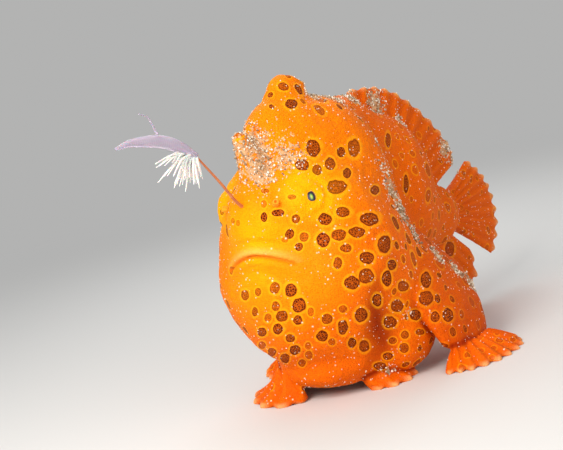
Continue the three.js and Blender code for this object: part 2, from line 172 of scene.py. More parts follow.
# Curves and lofts
def curve_point(points, t):
    """A smooth curve through points, at t from 0 to 1."""
    p = np.asarray(points, dtype=float)
    count = len(p)
    t = np.atleast_1d(np.asarray(t, dtype=float))
    place = np.clip(t, 0, 1) * (count - 1)
    i = np.minimum(place.astype(int), count - 2)
    w = (place - i)[:, None]
    padded = np.vstack([2 * p[0] - p[1], p, 2 * p[-1] - p[-2]])
    p0, p1, p2, p3 = (padded[i + k] for k in range(4))
    spans = ((p0, p1), (p1, p2), (p2, p3))
    d0, d1, d2 = (np.sqrt(np.linalg.norm(b - a, axis=1))[:, None] for a, b in spans)
    m1 = ((p1 - p0) / d0 - (p2 - p0) / (d0 + d1) + (p2 - p1) / d1) * d1
    m2 = ((p2 - p1) / d1 - (p3 - p1) / (d1 + d2) + (p3 - p2) / d2) * d1
    return p1 + m1 * w + (-3 * p1 + 3 * p2 - 2 * m1 - m2) * w**2 + (2 * p1 - 2 * p2 + m1 + m2) * w**3


def even_curve(points, steps):
    """Points and tangents along the curve at equal spacing."""
    dense = curve_point(points, np.linspace(0, 1, 400))
    run = np.concatenate([[0], np.cumsum(np.linalg.norm(np.diff(dense, axis=0), axis=1))])
    at = np.interp(np.linspace(0, run[-1], steps + 1), run, np.linspace(0, 1, 400))
    centre = curve_point(points, at)
    ahead = curve_point(points, np.minimum(at + 0.01, 1))
    tangent = unit(ahead - curve_point(points, np.maximum(at - 0.01, 0)))
    return centre, tangent


def ringed_mesh(rings, first, last):
    """Vertices and faces of a closed stack of rings with a pole at each end."""
    count, around, _ = rings.shape
    verts = np.vstack([[first], rings.reshape(-1, 3), [last]])
    i = np.arange(around)
    j = (i + 1) % around
    faces = [(0, 1 + b, 1 + a) for a, b in zip(i, j)]
    for r in range(count - 1):
        low = 1 + r * around
        high = low + around
        faces += [(low + a, low + b, high + b, high + a) for a, b in zip(i, j)]
    low = 1 + (count - 1) * around
    faces += [(len(verts) - 1, low + a, low + b) for a, b in zip(i, j)]
    return verts, faces


def tube(points, radii, around, steps, across=(0, 1, 0)):
    """A tapered tube; radii(t) gives the half width along across and the half depth."""
    centre, tangent = even_curve(points, steps)
    t = np.linspace(0, 1, steps + 1)
    across = np.asarray(across, dtype=float)
    wide = unit(across - tangent * (tangent @ across)[:, None])
    deep = np.cross(tangent, wide)
    half_width, half_depth = (np.broadcast_to(r, t.shape) for r in radii(t))
    angle = 2 * np.pi * np.arange(around) / around
    rings = (
        centre[:, None]
        + wide[:, None] * (half_width[:, None] * np.cos(angle))[..., None]
        + deep[:, None] * (half_depth[:, None] * np.sin(angle))[..., None]
    )
    first = centre[0] - tangent[0] * min(half_width[0], half_depth[0]) * 0.6
    last = centre[-1] + tangent[-1] * min(half_width[-1], half_depth[-1]) * 0.6
    return ringed_mesh(rings, first, last)


def fin_middle(fin, s, t):
    """The fin's middle sheet, with s along the root and t out to the margin, both from 0 to 1."""
    at_gap = np.cos(np.pi * fin["rays"] * s) ** 2
    reach = t * (1 - fin["dip"] * at_gap)
    start = curve_point(fin["root"], s)
    end = curve_point(fin["margin"], s)
    bow = np.asarray(fin["bow"], dtype=float)
    return start + (end - start) * reach[:, None] + bow * (4 * t * (1 - t))[:, None]


def fin_mesh(fin, per_ray=12, rows=44):
    """A fin as a closed sheet with a ridge on both faces for each ray."""
    columns = fin["rays"] * per_ray
    shares = np.linspace(0, 1, columns + 1), np.linspace(0, 1, rows + 1)
    s, t = (a.ravel() for a in np.meshgrid(*shares, indexing="ij"))
    e = 0.006
    middle = fin_middle(fin, s, t)
    along = fin_middle(fin, np.minimum(s + e, 1), t) - fin_middle(fin, np.maximum(s - e, 0), t)
    out = fin_middle(fin, s, np.minimum(t + e, 1)) - fin_middle(fin, s, np.maximum(t - e, 0))
    normal = unit(np.cross(along, out))
    at_ray = np.sin(np.pi * fin["rays"] * s) ** 2
    half = mix(fin["thick"][0], fin["thick"][1], t) / 2 * (1 - fin["ridge"] + fin["ridge"] * at_ray**1.4)
    edge = np.minimum(np.minimum(s, 1 - s) * columns / 3, (1 - t) * rows / 3)
    half = half * np.sqrt(np.clip(edge, 0, 1))
    count = len(s)
    verts = np.vstack([middle + normal * half[:, None], middle - normal * half[:, None]])
    grid = np.arange(count).reshape(columns + 1, rows + 1)
    corners = (grid[:-1, :-1], grid[1:, :-1], grid[1:, 1:], grid[:-1, 1:])
    a, b, c, d = (x.ravel() for x in corners)
    faces = list(zip(a, b, c, d)) + list(zip(d + count, c + count, b + count, a + count))
    rim = np.concatenate([grid[:, 0], grid[-1, 1:], grid[-2::-1, -1], grid[0, -2:0:-1]])
    after = np.roll(rim, -1)
    faces += [(q, p, p + count, q + count) for p, q in zip(rim, after)]
    return verts, faces, np.concatenate([s, s]), np.concatenate([t, t])


def mirror(points):
    return [(x, -y, z) for x, y, z in points]


# The shapes that stand on the body, with the same sizes as the solids
FIN = {"bow": (0, 0, 0), "ridge": 0.4}
DORSAL = {
    **FIN,
    "root": [(-62, 0, 80), (-78, 0, 76), (-91, 0, 68), (-98, 0, 58), (-104, 0, 47)],
    "margin": [
        (-66, 0, 91),
        (-80, 0, 90),
        (-93, 0, 86.5),
        (-106, 0, 79),
        (-118, 0, 69),
        (-125.5, 0, 59),
        (-125, 0, 53),
    ],
    "rays": 12,
    "thick": (5, 1.6),
    "dip": 0.06,
}
ANAL = {
    **FIN,
    "root": [(-78, 0, 36), (-92, 0, 35), (-105, 0, 35)],
    "margin": [(-88, 0, 15), (-98, 0, 7), (-112, 0, 5), (-125, 0, 8), (-126, 0, 19)],
    "rays": 7,
    "thick": (4.5, 1.5),
    "dip": 0.08,
}
CAUDAL = {
    **FIN,
    "root": [(-114, 0, 43), (-115, 0, 37), (-114, 0, 31)],
    "margin": [(-135, 0, 53), (-145, 0, 45), (-150, 0, 35), (-149, 0, 23), (-141, 0, 13)],
    "rays": 9,
    "thick": (5.5, 1.5),
    "dip": 0.07,
}
HAND = {
    **FIN,
    "root": [(-43, 31.5, 4), (-54, 35.5, 4.5), (-65, 34, 4)],
    "margin": [
        (-36, 33, SOLE_DEPTH),
        (-40, 41, SOLE_DEPTH),
        (-52, 47, SOLE_DEPTH),
        (-66, 46.5, SOLE_DEPTH),
        (-75, 39, SOLE_DEPTH),
    ],
    "rays": 10,
    "thick": (6, 1.9),
    "bow": (0, 0, 0.3),
    "dip": 0.14,
}
LEFT_FOOT = {
    **FIN,
    "root": [(-24, 8, 11), (-30, 11, 11), (-36, 9, 11)],
    "margin": [
        (-23, 14, SOLE_DEPTH),
        (-26, 20, SOLE_DEPTH),
        (-33, 23, SOLE_DEPTH),
        (-41, 21, SOLE_DEPTH),
        (-44, 15, SOLE_DEPTH),
    ],
    "rays": 5,
    "thick": (7.5, 2.4),
    "bow": (0, 0, -2.2),
    "dip": 0.1,
}
RIGHT_FOOT = {
    **LEFT_FOOT,
    "root": [(-14, -6, 11), (-18, -11, 11), (-27, -11, 11)],
    "margin": [
        (-17, -5.5, SOLE_DEPTH),
        (-9, -9.5, SOLE_DEPTH),
        (-8.5, -19, SOLE_DEPTH),
        (-14, -27, SOLE_DEPTH),
        (-23, -32, SOLE_DEPTH),
        (-30, -27, SOLE_DEPTH),
    ],
    "rays": 6,
    "thick": (8.5, 2.6),
    "dip": 0.09,
}
RIGHT_HAND = {**HAND, "root": mirror(HAND["root"]), "margin": mirror(HAND["margin"])}
FINS = [DORSAL, ANAL, CAUDAL, HAND, RIGHT_HAND, LEFT_FOOT, RIGHT_FOOT]
SECOND_SPINE_PATH = [(-10, 0, 71), (-8, 0, 79), (-4.6, 0, 87.4)]
SPINE_MEMBRANE = {
    **FIN,
    "root": [(-9, 0, 72), (-15, 0, 74), (-23, 0, 79)],
    "margin": [(-5.5, 0, 86.5), (-13, 0, 91.6), (-23, 0, 96.6)],
    "rays": 1,
    "thick": (8, 3.4),
    "dip": 0,
    "ridge": 0,
}
ARM_PATH = [(-50, 10, 44), (-53, 19, 33), (-56, 26, 22), (-55.5, 30, 12), (-54, 32, 4.6)]
THIRD_SPINE_PATH = [(-30, 0, 74), (-31, 0, 86), (-33, 0, 94), (-36, 0, 99)]


def arm_radii(t):
    return 16.5 + 4.5 * np.sin(np.pi * t) - 3.5 * t**4, mix(9, 3.4, t)


def second_spine_radii(t):
    return mix(6.5, 2.3, t), mix(6, 2, t)


def third_spine_radii(t):
    return mix(19, 8, t) * np.sqrt(1 - 0.55 * t**4), mix(12, 5, t) * np.sqrt(1 - 0.5 * t**4)


def body_mesh(around=260, front=76, side=170, rear=24):
    """The body as rays from a line down its middle."""
    spine_front = np.array([-26.0, 0, 48])
    spine_rear = np.array([-108.0, 0, 37.5])
    along = unit(spine_rear - spine_front)
    sideways = np.array([0.0, 1, 0])
    up = np.cross(along, sideways)
    angle = 2 * np.pi * np.arange(around) / around
    spokes = sideways * np.cos(angle)[:, None] + up * np.sin(angle)[:, None]
    origins = []
    tilts = []
    for r in range(1, front + 1):
        origins.append(spine_front)
        tilts.append(-math.pi / 2 * (1 - r / (front + 1)))
    for r in range(side + 1):
        origins.append(mix(spine_front, spine_rear, r / side))
        tilts.append(0.0)
    for r in range(1, rear + 1):
        origins.append(spine_rear)
        tilts.append(math.pi / 2 * r / (rear + 1))
    starts = np.repeat(np.array(origins), around, axis=0)
    directions = np.vstack([spokes * math.cos(a) + along * math.sin(a) for a in tilts])
    rings = leave_body(starts, directions).reshape(len(tilts), around, 3)
    poles = leave_body(np.array([spine_front, spine_rear]), np.array([-along, along]))
    return ringed_mesh(rings, poles[0], poles[1])


def mesh_object(name, verts, faces, smooth=True):
    """A mesh object from fish-frame millimetres."""
    mesh = bpy.data.meshes.new(name)
    mesh.from_pydata([tuple(v) for v in to_row(verts)], [], [tuple(int(i) for i in f) for f in faces])
    mesh.validate()
    mesh.polygons.foreach_set("use_smooth", [smooth] * len(mesh.polygons))
    obj = bpy.data.objects.new(name, mesh)
    bpy.context.scene.collection.objects.link(obj)
    return obj


def stacked(meshes):
    """Several (vertices, faces) as one."""
    verts, faces, start = [], [], 0
    for v, f in meshes:
        verts.append(v)
        faces += [tuple(i + start for i in face) for face in f]
        start += len(v)
    return np.vstack(verts), faces


def shell_points(mesh):
    """The mesh's points in the fish frame."""
    co = np.empty(len(mesh.vertices) * 3)
    mesh.vertices.foreach_get("co", co)
    return to_fish(co.reshape(-1, 3))


# Raw pieces, each with a label: 0 body, 1 arms and spines, 2 and up the fins
raw = [(*body_mesh(), 0, None, None)]
for path in (ARM_PATH, mirror(ARM_PATH)):
    raw.append((*tube(path, arm_radii, 72, 70, (1, 0, 0.3)), 1, None, None))
raw.append((*tube(THIRD_SPINE_PATH, third_spine_radii, 72, 60, (1, 0, 0)), 1, None, None))
raw.append((*tube(SECOND_SPINE_PATH, second_spine_radii, 60, 50, (1, 0, 0)), 1, None, None))
raw.append((*fin_mesh(SPINE_MEMBRANE, 60, 40)[:2], 1, None, None))
for number, fin in enumerate(FINS):
    verts, faces, s, t = fin_mesh(fin)
    raw.append((verts, faces, 2 + number, s, t))

all_verts, all_faces = stacked([(piece[0], piece[1]) for piece in raw])
raw_label = np.concatenate([np.full(len(piece[0]), piece[2]) for piece in raw])
raw_s = np.concatenate([piece[3] if piece[3] is not None else np.zeros(len(piece[0])) for piece in raw])
raw_t = np.concatenate([piece[4] if piece[4] is not None else np.zeros(len(piece[0])) for piece in raw])

skin = mesh_object("skin", all_verts, all_faces)
remesh = skin.modifiers.new("one surface", "REMESH")
remesh.mode = "VOXEL"
remesh.voxel_size = SKIN_VOXEL * MM
remesh.use_smooth_shade = True
baked = bpy.data.meshes.new_from_object(skin.evaluated_get(bpy.context.evaluated_depsgraph_get()))
skin.modifiers.clear()
skin.data = baked
points = shell_points(baked)

# Nearest raw point of each skin point gives its label and place on a fin
tree = KDTree(len(all_verts))
for index, v in enumerate(all_verts):
    tree.insert(v, index)
tree.balance()
nearest = np.array([tree.find(p)[1] for p in points])
label = raw_label[nearest]
fin_s = raw_s[nearest]
fin_t = raw_t[nearest]

edges = np.empty(len(baked.edges) * 2, dtype=int)
baked.edges.foreach_get("vertices", edges)
edges = edges.reshape(-1, 2)
degree = np.bincount(edges.ravel(), minlength=len(points)).astype(float)


def spread(values):
    """The mean of each point's neighbours."""
    values = np.asarray(values, dtype=float)
    flat = values.reshape(len(points), -1)
    columns = []
    for k in range(flat.shape[1]):
        total = np.bincount(edges[:, 0], weights=flat[edges[:, 1], k], minlength=len(points))
        total += np.bincount(edges[:, 1], weights=flat[edges[:, 0], k], minlength=len(points))
        columns.append(total / degree)
    return np.stack(columns, axis=1).reshape(values.shape)


# Round the joints between the pieces, and settle the body's own skin on its exact surface
joint = np.zeros(len(points))
border = label[edges[:, 0]] != label[edges[:, 1]]
joint[edges[border].ravel()] = 1
for _ in range(9):
    joint = np.maximum(joint, spread(joint))
for _ in range(6):
    joint = spread(joint)
joint = np.clip(joint * 1.6, 0, 1)
for _ in range(3):
    points = mix(points, spread(points), 0.5)
for _ in range(34):
    points = mix(points, spread(points), 0.75 * joint[:, None])
plain = (label == 0) * (1 - ramp(joint, 0.05, 0.6))
for _ in range(2):
    slope = body_slope(points)
    value = body_field(points)
    steps = slope * (value / np.maximum((slope**2).sum(axis=1), 0.05))[:, None]
    points = points - steps * plain[:, None]


def normals_of(mesh, where):
    """Move the mesh's points to these places and return its normals there."""
    mesh.vertices.foreach_set("co", to_row(where).ravel())
    mesh.update()
    out = np.empty(len(mesh.vertices) * 3)
    mesh.vertices.foreach_get("normal", out)
    return out.reshape(-1, 3)


def soft_noise(where, size, seed):
    """Smooth noise about 0 whose lumps are about size millimetres wide."""
    shifted = where / size + seed * 17.3
    return np.array([noise.noise(Vector(p)) for p in shifted])


normals = normals_of(baked, points)

# The mouth line, and each skin point's place beside it
MOUTH_STEPS = 161
mouth_a = np.linspace(-1, 1, MOUTH_STEPS)
mouth_from = np.stack(
    [
        np.full(MOUTH_STEPS, -16.0),
        mouth_a * MOUTH_HALF_WIDTH * 0.55,
        np.full(MOUTH_STEPS, LIP_HEIGHT - 3),
    ],
    axis=1,
)
mouth_aim = np.stack(
    [
        4 - 7 * mouth_a**2,
        mouth_a * MOUTH_HALF_WIDTH,
        LIP_HEIGHT - MOUTH_DROP * np.abs(mouth_a) ** 1.7,
    ],
    axis=1,
)
mouth = leave_body(mouth_from, unit(mouth_aim - mouth_from))
near_mouth = np.where((points[:, 0] > -22) & (np.abs(points[:, 1]) < 22) & (label == 0))[0]
beside = points[near_mouth][:, None] - mouth[None]
beside[..., 0] *= 0.7
closest = np.argmin((beside**2).sum(axis=2), axis=1)
gap = beside[np.arange(len(near_mouth)), closest]
mouth_gap = np.full(len(points), 99.0)
mouth_side = np.ones(len(points))
mouth_place = np.zeros(len(points))
mouth_gap[near_mouth] = np.linalg.norm(gap, axis=1)
mouth_side[near_mouth] = np.sign(gap[:, 2])
mouth_place[near_mouth] = mouth_a[closest]
lip_taper = 0.3 + 0.7 * np.clip(1 - np.abs(mouth_place) ** 2.2, 0, 1)
signed = mouth_gap * mouth_side
lift = 0.9 * lip_taper * bell(signed - 1.4, 1.1)
lift += 1.1 * lip_taper * bell(signed + 1.7, 1.4)
lift -= 0.8 * bell(signed, 0.4) * (mouth_gap < 3)
lift -= 0.55 * lip_taper * bell(signed + 5.2, 1.0)
lift -= 0.35 * lip_taper * bell(signed - 4.6, 0.9)

# Rims round the eyes, and a roughness that is fainter on the fins and by the mouth
for side in (1, -1):
    centre = EYE * [1, side, 1]
    from_eye = np.linalg.norm(points - centre, axis=1)
    lift += 0.4 * bell(from_eye - (EYE_RADIUS + 0.8), 0.8)
    lift -= 0.22 * bell(from_eye - (EYE_RADIUS + 2.6), 0.9)
    lift += 0.12 * bell(from_eye - (EYE_RADIUS + 4.2), 0.9)
rough = soft_noise(points, 9.0, 1) * 0.55
rough += soft_noise(points, 3.6, 2) * 0.22
rough += soft_noise(points, 1.3, 3) * 0.1
calm = 1 - 0.75 * bell(mouth_gap, 6)
is_fin = (label >= 2).astype(float)
for _ in range(3):
    is_fin = spread(is_fin)
lift += rough * calm * mix(1.0, 0.3, is_fin)

# A furrow runs down between the belly and the arm on each side; lower down, its depth also darkens the colour
# as painted shade
FURROW = [
    (-25, 30, 40),
    (-19, 29, 35),
    (-17.5, 27, 29),
    (-20, 24, 22),
    (-24, 21.5, 14.5),
    (-22, 17, 10),
    (-17, 14, 8.5),
]
FURROW_STEPS = 60
furrow_depth = np.zeros(len(points))
for side in (1, -1):
    line = curve_point([(x, side * y, z) for x, y, z in FURROW], np.linspace(0, 1, FURROW_STEPS))
    low_side = np.where((points[:, 2] < 45) & (points[:, 1] * side > 5) & (label < 2))[0]
    away = np.linalg.norm(points[low_side][:, None] - line[None], axis=2)
    nearest_step = away.argmin(axis=1)
    strength = np.sin(np.pi * np.clip(nearest_step / (FURROW_STEPS - 1), 0.06, 0.94))
    furrow_depth[low_side] = bell(away.min(axis=1), 4.4) * strength
lift -= 1.0 * furrow_depth

# Gill openings low behind the arms
for side in (1, -1):
    gill = np.array([-69.0, 15.0 * side, 33.0])
    from_gill = np.linalg.norm(points - gill, axis=1)
    lift -= 1.1 * bell(from_gill, 1.3) * (label == 0)
    lift += 0.5 * bell(from_gill - 2.2, 0.8) * (label == 0)

points = points + normals * lift[:, None]
points[:, 2] = np.clip(points[:, 2], 0.02, BOX_TOP - 0.02)
normals = normals_of(baked, points)

# The camera, turned round from the snout, raised and rolled in degrees. It stands DISTANCE from the lip,
# where one pixel of the picture is PIXEL wide
PICTURE = (563, 450)
PIXEL = 0.3
DISTANCE = 400
FOCAL = DISTANCE / PIXEL
turn, rise, roll = (math.radians(a) for a in (38, 8, 13))
toward = np.array([math.cos(rise) * math.cos(turn), math.cos(rise) * math.sin(turn), math.sin(rise)])
flat_right = np.array([-math.sin(turn), math.cos(turn), 0])
flat_up = np.cross(toward, flat_right)
right = flat_right * math.cos(roll) - flat_up * math.sin(roll)
up = flat_right * math.sin(roll) + flat_up * math.cos(roll)
LIP_IN_PICTURE = (256, 254)
camera_at = (
    np.array([0, 0, LIP_HEIGHT])
    + toward * DISTANCE
    - right * (LIP_IN_PICTURE[0] - PICTURE[0] / 2) * PIXEL
    + up * (LIP_IN_PICTURE[1] - PICTURE[1] / 2) * PIXEL
)


def in_picture(where):
    """The picture's own coordinates of each point, in pixels from its upper left corner."""
    d = where - camera_at
    depth = -(d @ toward)
    across = PICTURE[0] / 2 + FOCAL * (d @ right) / depth
    down = PICTURE[1] / 2 - FOCAL * (d @ up) / depth
    return np.stack([across, down], axis=1)


def picture_ray(u, v):
    """The direction from the camera through a pixel."""
    across = right * (u - PICTURE[0] / 2) / FOCAL
    return unit(-toward + across - up * (v - PICTURE[1] / 2) / FOCAL)


# Spots that the photograph shows: place and size on the picture, in pixels
SEEN_SPOTS = [
    (291, 104, 12, 9), (313, 148, 14, 17), (354, 148, 12, 17), (341, 152, 8, 10), (302, 165, 13, 11),
    (317, 170, 9, 10), (330, 164, 10, 12), (347, 173, 8, 10), (337, 187, 19, 14), (343, 212, 14, 10),
    (369, 219, 18, 13), (325, 219, 13, 12), (296, 219, 9, 9), (339, 235, 15, 11), (357, 232, 16, 10),
    (323, 240, 13, 14), (290, 234, 9, 10), (304, 237, 9, 9), (299, 247, 8, 8), (285, 240, 7, 5),
    (346, 248, 11, 8), (384, 244, 13, 17), (367, 258, 14, 12), (338, 263, 9, 11), (392, 265, 8, 10),
    (366, 276, 14, 14), (352, 283, 14, 13), (387, 279, 9, 15), (403, 286, 10, 10), (275, 288, 10, 11),
    (291, 290, 12, 13), (245, 295, 8, 10), (258, 292, 6, 8), (299, 305, 13, 14), (276, 306, 8, 9),
    (282, 316, 11, 11), (343, 309, 8, 7), (361, 315, 12, 13), (377, 300, 9, 12), (397, 306, 12, 12),
    (327, 319, 10, 10), (311, 312, 6, 9), (298, 320, 9, 9), (343, 327, 10, 14), (278, 329, 10, 10),
    (290, 338, 9, 8), (322, 336, 11, 11), (332, 342, 7, 7), (352, 343, 8, 10), (364, 346, 10, 11),
    (390, 322, 12, 11), (295, 350, 10, 9), (285, 358, 9, 9), (308, 346, 6, 7), (309, 355, 7, 8),
    (302, 363, 7, 7), (272, 352, 8, 8), (426, 280, 10, 16), (426, 298, 13, 14), (435, 317, 9, 10),
    (448, 315, 10, 13), (415, 315, 11, 10), (405, 335, 8, 8), (420, 332, 8, 6), (404, 348, 9, 9),
    (388, 356, 10, 7), (380, 366, 12, 7), (264, 204, 6, 7), (264, 217, 7, 9), (265, 191, 8, 5),
    (278, 213, 12, 7), (292, 197, 9, 5), (406, 184, 5, 17), (388, 140, 5, 14), (450, 249, 9, 14),
    (222, 212, 4, 6), (233, 221, 4, 6), (238, 223, 4, 6), (375, 190, 8, 9), (262, 332, 8, 9),
    (268, 318, 7, 8), (255, 312, 6, 9), (262, 345, 7, 7),
]
baked.calc_loop_triangles()
triangles = np.empty(len(baked.loop_triangles) * 3, dtype=int)
baked.loop_triangles.foreach_get("vertices", triangles)
surface = BVHTree.FromPolygons(points.tolist(), triangles.reshape(-1, 3).tolist())
pixels = in_picture(points)
spot = np.full(len(points), 9.0)
spot_tone = np.zeros(len(points))
spot_centres, spot_radii = [], []
for u, v, width, height in SEEN_SPOTS:
    hit = surface.ray_cast(Vector(camera_at), Vector(picture_ray(u, v)))
    if hit[0] is None:
        continue
    centre = np.array(hit[0])
    facing = max(abs(float(np.dot(hit[1], toward))), 0.3)
    reach = 0.165 * max(width, height) / facing
    close = np.where(np.linalg.norm(points - centre, axis=1) < 2.6 * reach + 1)[0]
    offset = (pixels[close] - (u, v)) / (width * 0.55, height * 0.55)
    away = np.linalg.norm(offset, axis=1)
    better = away < spot[close]
    spot[close[better]] = away[better]
    spot_tone[close[better]] = rng.uniform(0.75, 1.0) if width * height > 60 else rng.uniform(0.45, 0.8)
    spot_centres.append(centre)
    spot_radii.append(0.15 * math.sqrt(width * height) / math.sqrt(facing))

# The rest of the skin gets spots of the same sizes at random places, spaced as on the side that is seen.
# The list above covers what shows left of and below the two picture lines
LISTED_RIGHT = 392
LISTED_TOP = 110
PLACES_TRIED = 26000
order = rng.permutation(len(points))[:PLACES_TRIED]
bare_face = bell(np.linalg.norm(points - [2, 0, 47], axis=1), 11.5)
for side in (1, -1):
    bare_face = np.maximum(bare_face, bell(np.linalg.norm(points - EYE * [1, side, 1], axis=1), 5.6))
for index in order:
    p = points[index]
    n = normals[index]
    if bare_face[index] > 0.36 or p[2] < 1.2:
        continue
    to_camera = unit(camera_at - p)
    if n @ to_camera > 0.12:
        if surface.ray_cast(Vector(p + n * 0.6), Vector(to_camera))[0] is None:
            u, v = pixels[index]
            if u < LISTED_RIGHT and v > LISTED_TOP:
                continue
    on_fin = label[index] >= 2
    radius = rng.uniform(0.9, 1.7) if on_fin else rng.uniform(1.05, 2.5) * (1 - 0.25 * bare_face[index])
    if spot_centres:
        apart = np.linalg.norm(np.array(spot_centres) - p, axis=1)
        if (apart < (np.array(spot_radii) + radius) * 1.3 + 0.7 + 1.1 * (on_fin or p[0] < -52)).any():
            continue
    close = np.where(np.linalg.norm(points - p, axis=1) < 2.4 * radius)[0]
    sideways = unit(np.cross(n, rng.normal(size=3)))
    other = np.cross(n, sideways)
    d = points[close] - p
    stretch = rng.uniform(0.78, 1.0)
    away = np.sqrt((d @ sideways / radius) ** 2 + (d @ other / radius / stretch) ** 2 + (d @ n / radius) ** 2)
    better = away < spot[close]
    spot[close[better]] = away[better]
    spot_tone[close[better]] = rng.uniform(0.2, 0.55) if on_fin or p[0] < -52 else rng.uniform(0.55, 1.0)
    spot_centres.append(p)
    spot_radii.append(radius)
print("spots", len(spot_centres), "skin points", len(points))

# Where the colours go
yellow = bell(np.linalg.norm((points - [-2, 0, 50]) * [1, 0.75, 0.9], axis=1), 16.5)
for side in (1, -1):
    yellow = np.maximum(yellow, bell(np.linalg.norm(points - EYE * [1, side, 1], axis=1), 10))
# Painted light: the upper front of the body is made yellower, as where the front light falls on it
yellow = np.clip(yellow + 0.42 * ramp(points[:, 0], -75, -20) * ramp(points[:, 2], 46, 76), 0, 1)
at_side = np.abs(points[:, 1]) > 12
low_shade = ramp(-points[:, 2], -24, -2) * 0.4 + 0.35 * (1 - ramp(points[:, 0], -72, -38))
low_shade = low_shade + 0.62 * (label == 1) * at_side
for _ in range(4):
    low_shade = spread(low_shade)
# Painted shade: darker low in the creases where the arms join the body, and in the furrows
arm_crease_shade = joint * (1 - ramp(points[:, 2], 16, 30)) * at_side * ramp(points[:, 0], -70, -52)
arm_crease_shade = np.maximum(arm_crease_shade, furrow_depth)
rays = np.array([fin["rays"] for fin in FINS])
ray_count = rays[np.maximum(label - 2, 0)]
ray = np.where(label >= 2, np.sin(np.pi * ray_count * fin_s) ** 2, 0.0)
tip = np.where(label >= 2, ramp(fin_t, 0.84, 0.99), 0.0)

# Silt lies on the crown, along the back and down the upper edge of the arms
SILT_PATCHES = [
    ((-8, 0, 82), 8), ((-16, 5, 76), 7.5), ((-12, -4, 84), 6), ((-20, 8, 71), 5), ((-7, 3, 76), 6),
    ((-42, 2, 94), 6), ((-52, 3, 92), 6), ((-64, 2, 89), 5), ((-80, 1, 84), 5), ((-52, 12, 72), 3.6),
    ((-49, 16, 65), 4), ((-48, 19, 58), 5), ((-49, 21, 51), 5), ((-54, 24, 43), 4.2), ((-59, 27, 34), 4),
    ((-65, 29, 27), 4), ((-71, 30, 21), 4), ((-126, 1, 54), 5), ((-120, 1, 60), 4.5), ((-47, -18, 62), 5),
    ((-52, -23, 48), 5), ((-60, -27, 33), 4.5), ((-90, 1, 74), 4), ((-22, 17, 24), 3), ((-34, 24, 22), 3.2),
    ((-30, 16, 6), 3.4), ((-18, -12, 5), 3.2),
]
silt = np.zeros(len(points))
for centre, size in SILT_PATCHES:
    silt = np.maximum(silt, bell(np.linalg.norm(points - centre, axis=1), size))
silt = np.clip(silt + 0.25 * soft_noise(points, 2.2, 9) * (silt > 0.1), 0, 1)


def keep(mesh, name, values):
    """Store one number a point on the mesh, for its material to read."""
    attribute = mesh.attributes.new(name, "FLOAT", "POINT")
    attribute.data.foreach_set("value", np.asarray(values, dtype=np.float32))


# Painted shade along the mouth slit
slit_shade = bell(signed, 0.5) * (mouth_gap < 2.5) * lip_taper
# A pale band on the upper lip, partly its own pale colour and partly a painted highlight
lip_and_highlight = np.clip(bell(signed - 1.5, 1.1) * lip_taper, 0, 1)
for name, values in {
    "spot": np.minimum(spot, 3),
    "spot_tone": spot_tone,
    "yellow": yellow,
    "shade": np.clip(low_shade, 0, 1),
    "crease_shade": np.clip(spread(spread(arm_crease_shade)), 0, 1),
    "fin": is_fin,
    "ray": ray,
    "tip": tip,
    "silt": silt,
    "slit_shade": slit_shade,
    "lip_and_highlight": lip_and_highlight,
}.items():
    keep(baked, name, values)
normals_of(baked, points)


# Materials
class Nodes:
    """Short names for building a node material."""

    def __init__(self, name):
        self.material = bpy.data.materials.new(name)
        self.material.use_nodes = True
        self.tree = self.material.node_tree
        self.shader = self.tree.nodes["Principled BSDF"]

    def add(self, kind, **settings):
        node = self.tree.nodes.new(kind)
        for key, value in settings.items():
            setattr(node, key, value)
        return node

    def link(self, source, target):
        self.tree.links.new(source, target)

    def value(self, name):
        return self.add("ShaderNodeAttribute", attribute_name=name).outputs["Fac"]

    def ramp(self, source, stops):
        node = self.add("ShaderNodeValToRGB")
        self.link(source, node.inputs["Fac"])
        elements = node.color_ramp.elements
        while len(elements) < len(stops):
            elements.new(0.5)
        for element, (place, colour) in zip(elements, stops):
            element.position = place
            element.color = (*colour, 1)
        return node.outputs["Color"]

    def blend(self, factor, a, b):
        node = self.add("ShaderNodeMix", data_type="RGBA")
        for socket, value in ((node.inputs["Factor"], factor), (node.inputs["A"], a), (node.inputs["B"], b)):
            if isinstance(value, (int, float)):
                socket.default_value = value
            elif isinstance(value, tuple):
                socket.default_value = (*value, 1)
            else:
                self.link(value, socket)
        return node.outputs["Result"]

    def math(self, operation, a, b=0.0):
        node = self.add("ShaderNodeMath", operation=operation)
        for socket, value in zip(node.inputs, (a, b)):
            if isinstance(value, (int, float)):
                socket.default_value = value
            else:
                self.link(value, socket)
        return node.outputs["Value"]

    def texture(self, kind, scale, **inputs):
        coordinate = self.add("ShaderNodeTexCoord").outputs["Object"]
        node = self.add(kind)
        self.link(coordinate, node.inputs["Vector"])
        node.inputs["Scale"].default_value = scale
        for key, value in inputs.items():
            node.inputs[key].default_value = value
        return node

    def bump(self, height, strength, distance, normal=None):
        node = self.add("ShaderNodeBump")
        node.inputs["Strength"].default_value = strength
        node.inputs["Distance"].default_value = distance
        self.link(height, node.inputs["Height"])
        if normal is not None:
            self.link(normal, node.inputs["Normal"])
        return node.outputs["Normal"]


def grey(level):
    return (level, level, level)


def rgb(*levels):
    """Display colour, 0 to 255, as linear light."""
    return tuple(((c / 255 + 0.055) / 1.055) ** 2.4 if c > 10 else c / 255 / 12.92 for c in levels)


